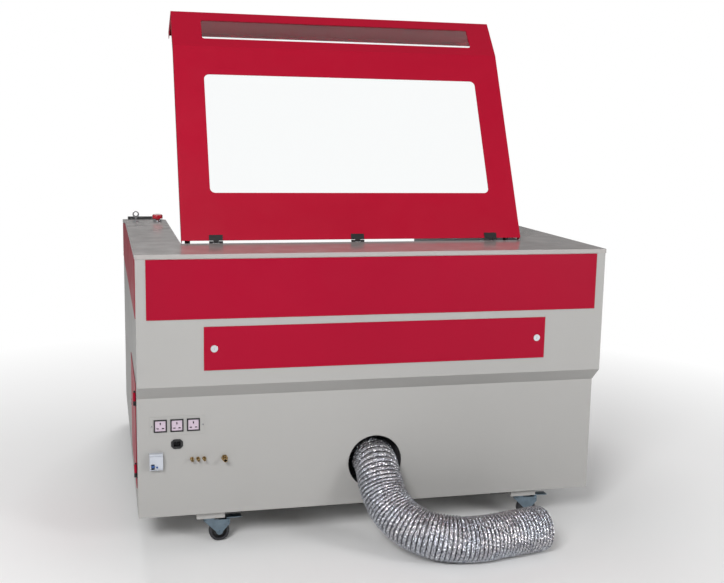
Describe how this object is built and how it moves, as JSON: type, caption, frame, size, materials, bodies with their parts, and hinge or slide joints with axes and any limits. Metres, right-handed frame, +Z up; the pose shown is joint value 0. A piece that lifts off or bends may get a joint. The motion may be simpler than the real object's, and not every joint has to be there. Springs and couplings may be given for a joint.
{
  "type": "laser cutting machine",
  "caption": "Floor-standing flatbed laser cutter on castors, lid open, with a moving gantry and head, access doors and a foil exhaust duct.",
  "frame": {"origin": "on the floor, under the middle of the whole part's bounding box with the lid at rest; the cabinet's own middle is at X -0.0045, Y -0.1418", "axes": "+Z up; the operator stands on the -Y side; the exhaust duct leaves from the rear, +Y; the operator's right is +X"},
  "size_m": [1.713, 2.1136, 1.9236],
  "materials": {
    "grey_powder_coat": "satin powder coat",
    "red_powder_coat": "semi-gloss powder coat",
    "frame_paint": "satin",
    "black_steel": "satin black",
    "acrylic": "clear acrylic",
    "bright_steel": "ground",
    "chrome": "polished",
    "black_plastic": "moulded",
    "white_plastic": "moulded",
    "plate_paint": "satin",
    "blue_plastic": "moulded",
    "red_plastic": "moulded",
    "brass": "turned",
    "foil": "crinkled laminated foil",
    "tube_glass": "clear glass",
    "mirror_mount": "anodised",
    "belt_rubber": "matt",
    "supply_case": "satin",
    "panel_glass": "gloss",
    "zinc_steel": "zinc plated",
    "castor_rubber": "matt"
  },
  "bodies": {
    "cabinet": {"base_shell": "grey_powder_coat", "base_frame": "frame_paint", "upper_shell": "grey_powder_coat", "top_plate": "grey_powder_coat", "stripe_panels": "red_powder_coat", "front_deck": "grey_powder_coat", "work_chamber": "frame_paint", "hinge_pins": "black_steel", "strut_anchors": "black_steel", "socket_plate": "plate_paint", "power_sockets": "black_plastic", "power_inlet": "black_plastic", "breaker_body": "white_plastic", "hose_barbs": "brass", "exhaust_plenum": "frame_paint", "exhaust_duct": "foil", "laser_tube": "tube_glass", "tube_supports": "frame_paint", "fixed_mirror": "mirror_mount", "y_rails": "bright_steel", "y_belts": "belt_rubber", "y_bearings": "bright_steel", "honeycomb_bed": "mirror_mount", "laser_power_supply": "supply_case", "control_electronics": "black_plastic", "control_panel": "black_plastic", "panel_inserts": "panel_glass", "switch_bodies": "chrome", "castor_mounts": "grey_powder_coat"},
    "lid": {"lid_shell": "red_powder_coat", "lid_panes": "acrylic", "lid_hinge_leaves": "black_steel", "lid_handle": "bright_steel"},
    "strut_cylinder_right": {"strut_cylinder_right": "black_steel"},
    "strut_cylinder_left": {"strut_cylinder_left": "black_steel"},
    "strut_rod_right": {"strut_rod_right": "bright_steel"},
    "strut_rod_left": {"strut_rod_left": "bright_steel"},
    "rear_door": {"rear_door": "red_powder_coat"},
    "rear_door_lock_right": {"rear_door_lock_right": "chrome"},
    "rear_door_lock_left": {"rear_door_lock_left": "chrome"},
    "side_door": {"side_door": "red_powder_coat"},
    "side_door_lock": {"side_door_lock": "chrome"},
    "front_door": {"front_door": "red_powder_coat"},
    "breaker_toggle": {"breaker_toggle": "blue_plastic"},
    "breaker_test_button": {"breaker_test_button": "blue_plastic"},
    "emergency_stop": {"emergency_stop": "red_plastic"},
    "key": {"key": "chrome"},
    "y_drive_shaft": {"y_drive_shaft": "bright_steel"},
    "gantry": {"gantry_beam": "mirror_mount"},
    "laser_head": {"laser_head": "mirror_mount"},
    "castor_fork_rear_right": {"castor_fork_rear_right": "zinc_steel"},
    "castor_wheel_rear_right": {"castor_wheel_rear_right": "castor_rubber"},
    "castor_fork_rear_left": {"castor_fork_rear_left": "zinc_steel"},
    "castor_wheel_rear_left": {"castor_wheel_rear_left": "castor_rubber"},
    "castor_fork_front_right": {"castor_fork_front_right": "zinc_steel"},
    "castor_wheel_front_right": {"castor_wheel_front_right": "castor_rubber"},
    "castor_fork_front_left": {"castor_fork_front_left": "zinc_steel"},
    "castor_wheel_front_left": {"castor_wheel_front_left": "castor_rubber"},
    "castor_brake_rear_right": {"castor_brake_rear_right": "zinc_steel"},
    "castor_brake_rear_left": {"castor_brake_rear_left": "zinc_steel"}
  },
  "joints": [
    {"name": "lid_hinge", "type": "hinge", "parent": "cabinet", "child": "lid", "pos_m": [0.013, 0.4282, 1.068], "axis": [-1, 0, 0], "range_deg": [-64, 6]},
    {"name": "strut_swing_right", "type": "hinge", "parent": "cabinet", "child": "strut_cylinder_right", "pos_m": [0.6415, 0.3682, 0.848], "axis": [-1, 0, 0], "range_deg": [-31.47, 3.22]},
    {"name": "strut_stroke_right", "type": "slide", "parent": "strut_cylinder_right", "child": "strut_rod_right", "axis": [0, -0.1502, 0.9887], "range_m": [-0.1607, 0.0155]},
    {"name": "strut_swing_left", "type": "hinge", "parent": "cabinet", "child": "strut_cylinder_left", "pos_m": [-0.6155, 0.3682, 0.848], "axis": [-1, 0, 0], "range_deg": [-31.47, 3.22]},
    {"name": "strut_stroke_left", "type": "slide", "parent": "strut_cylinder_left", "child": "strut_rod_left", "axis": [0, -0.1502, 0.9887], "range_m": [-0.1607, 0.0155]},
    {"name": "rear_door_lift_off", "type": "slide", "parent": "cabinet", "child": "rear_door", "axis": [0, 1, 0], "range_m": [0, 0.3]},
    {"name": "rear_lock_turn_right", "type": "hinge", "parent": "rear_door", "child": "rear_door_lock_right", "pos_m": [0.5855, 0.7332, 0.739], "axis": [0, 1, 0], "range_deg": [0, 90]},
    {"name": "rear_lock_turn_left", "type": "hinge", "parent": "rear_door", "child": "rear_door_lock_left", "pos_m": [-0.5945, 0.7332, 0.739], "axis": [0, -1, 0], "range_deg": [0, 90]},
    {"name": "side_door_hinge", "type": "hinge", "parent": "cabinet", "child": "side_door", "pos_m": [0.8515, 0.6242, 0.408], "axis": [0, 0, 1], "range_deg": [0, 110]},
    {"name": "side_lock_turn", "type": "hinge", "parent": "side_door", "child": "side_door_lock", "pos_m": [0.8465, 0.1482, 0.408], "axis": [1, 0, 0], "range_deg": [0, 90]},
    {"name": "front_door_hinge", "type": "hinge", "parent": "cabinet", "child": "front_door", "pos_m": [-0.0045, -1.0228, 0.224], "axis": [1, 0, 0], "range_deg": [0, 90]},
    {"name": "breaker_toggle_tilt", "type": "hinge", "parent": "cabinet", "child": "breaker_toggle", "pos_m": [0.795, 0.6942, 0.3184], "axis": [1, 0, 0], "range_deg": [-40, 0]},
    {"name": "breaker_test_press", "type": "slide", "parent": "cabinet", "child": "breaker_test_button", "axis": [0, 1, 0], "range_m": [-0.003, 0]},
    {"name": "emergency_stop_press", "type": "slide", "parent": "cabinet", "child": "emergency_stop", "axis": [0, 0, 1], "range_m": [-0.005, 0]},
    {"name": "key_turn", "type": "hinge", "parent": "cabinet", "child": "key", "pos_m": [0.8045, -0.3738, 1.064], "axis": [0, 0, 1], "range_deg": [0, 90]},
    {"name": "gantry_travel", "type": "slide", "parent": "cabinet", "child": "gantry", "axis": [0, 1, 0], "range_m": [-0.8, 0.015]},
    {"name": "drive_shaft_spin", "type": "hinge", "parent": "cabinet", "child": "y_drive_shaft", "pos_m": [0.013, 0.4062, 0.704], "axis": [1, 0, 0], "range_deg": [-70, 3300]},
    {"name": "head_travel", "type": "slide", "parent": "gantry", "child": "laser_head", "axis": [1, 0, 0], "range_m": [-1.06, 0.02]},
    {"name": "castor_swivel_rear_right", "type": "hinge", "parent": "cabinet", "child": "castor_fork_rear_right", "pos_m": [0.5925, 0.6102, 0.09], "axis": [0, 0, 1], "continuous": true},
    {"name": "wheel_spin_rear_right", "type": "hinge", "parent": "castor_fork_rear_right", "child": "castor_wheel_rear_right", "pos_m": [0.5585, 0.6102, 0.0375], "axis": [0, 1, 0], "continuous": true},
    {"name": "brake_press_rear_right", "type": "hinge", "parent": "castor_fork_rear_right", "child": "castor_brake_rear_right", "pos_m": [0.5265, 0.6102, 0.072], "axis": [0, -1, 0], "range_deg": [0, 12]},
    {"name": "castor_swivel_rear_left", "type": "hinge", "parent": "cabinet", "child": "castor_fork_rear_left", "pos_m": [-0.6015, 0.6102, 0.09], "axis": [0, 0, 1], "continuous": true},
    {"name": "wheel_spin_rear_left", "type": "hinge", "parent": "castor_fork_rear_left", "child": "castor_wheel_rear_left", "pos_m": [-0.6355, 0.6102, 0.0375], "axis": [0, 1, 0], "continuous": true},
    {"name": "brake_press_rear_left", "type": "hinge", "parent": "castor_fork_rear_left", "child": "castor_brake_rear_left", "pos_m": [-0.6675, 0.6102, 0.072], "axis": [0, -1, 0], "range_deg": [0, 12]},
    {"name": "castor_swivel_front_right", "type": "hinge", "parent": "cabinet", "child": "castor_fork_front_right", "pos_m": [0.5925, -0.8938, 0.09], "axis": [0, 0, 1], "continuous": true},
    {"name": "wheel_spin_front_right", "type": "hinge", "parent": "castor_fork_front_right", "child": "castor_wheel_front_right", "pos_m": [0.5585, -0.8938, 0.0375], "axis": [0, 1, 0], "continuous": true},
    {"name": "castor_swivel_front_left", "type": "hinge", "parent": "cabinet", "child": "castor_fork_front_left", "pos_m": [-0.6015, -0.8938, 0.09], "axis": [0, 0, 1], "continuous": true},
    {"name": "wheel_spin_front_left", "type": "hinge", "parent": "castor_fork_front_left", "child": "castor_wheel_front_left", "pos_m": [-0.6355, -0.8938, 0.0375], "axis": [0, 1, 0], "continuous": true}
  ],
  "couplings": [
    {"joint": "strut_swing_right", "follows": "lid_hinge", "ratio": 0.48697},
    {"joint": "strut_stroke_right", "follows": "lid_hinge", "m_per_rad": 0.14341},
    {"joint": "strut_swing_left", "follows": "lid_hinge", "ratio": 0.48697},
    {"joint": "strut_stroke_left", "follows": "lid_hinge", "m_per_rad": 0.14341},
    {"joint": "drive_shaft_spin", "follows": "gantry_travel", "rad_per_m": -71.429}
  ]
}
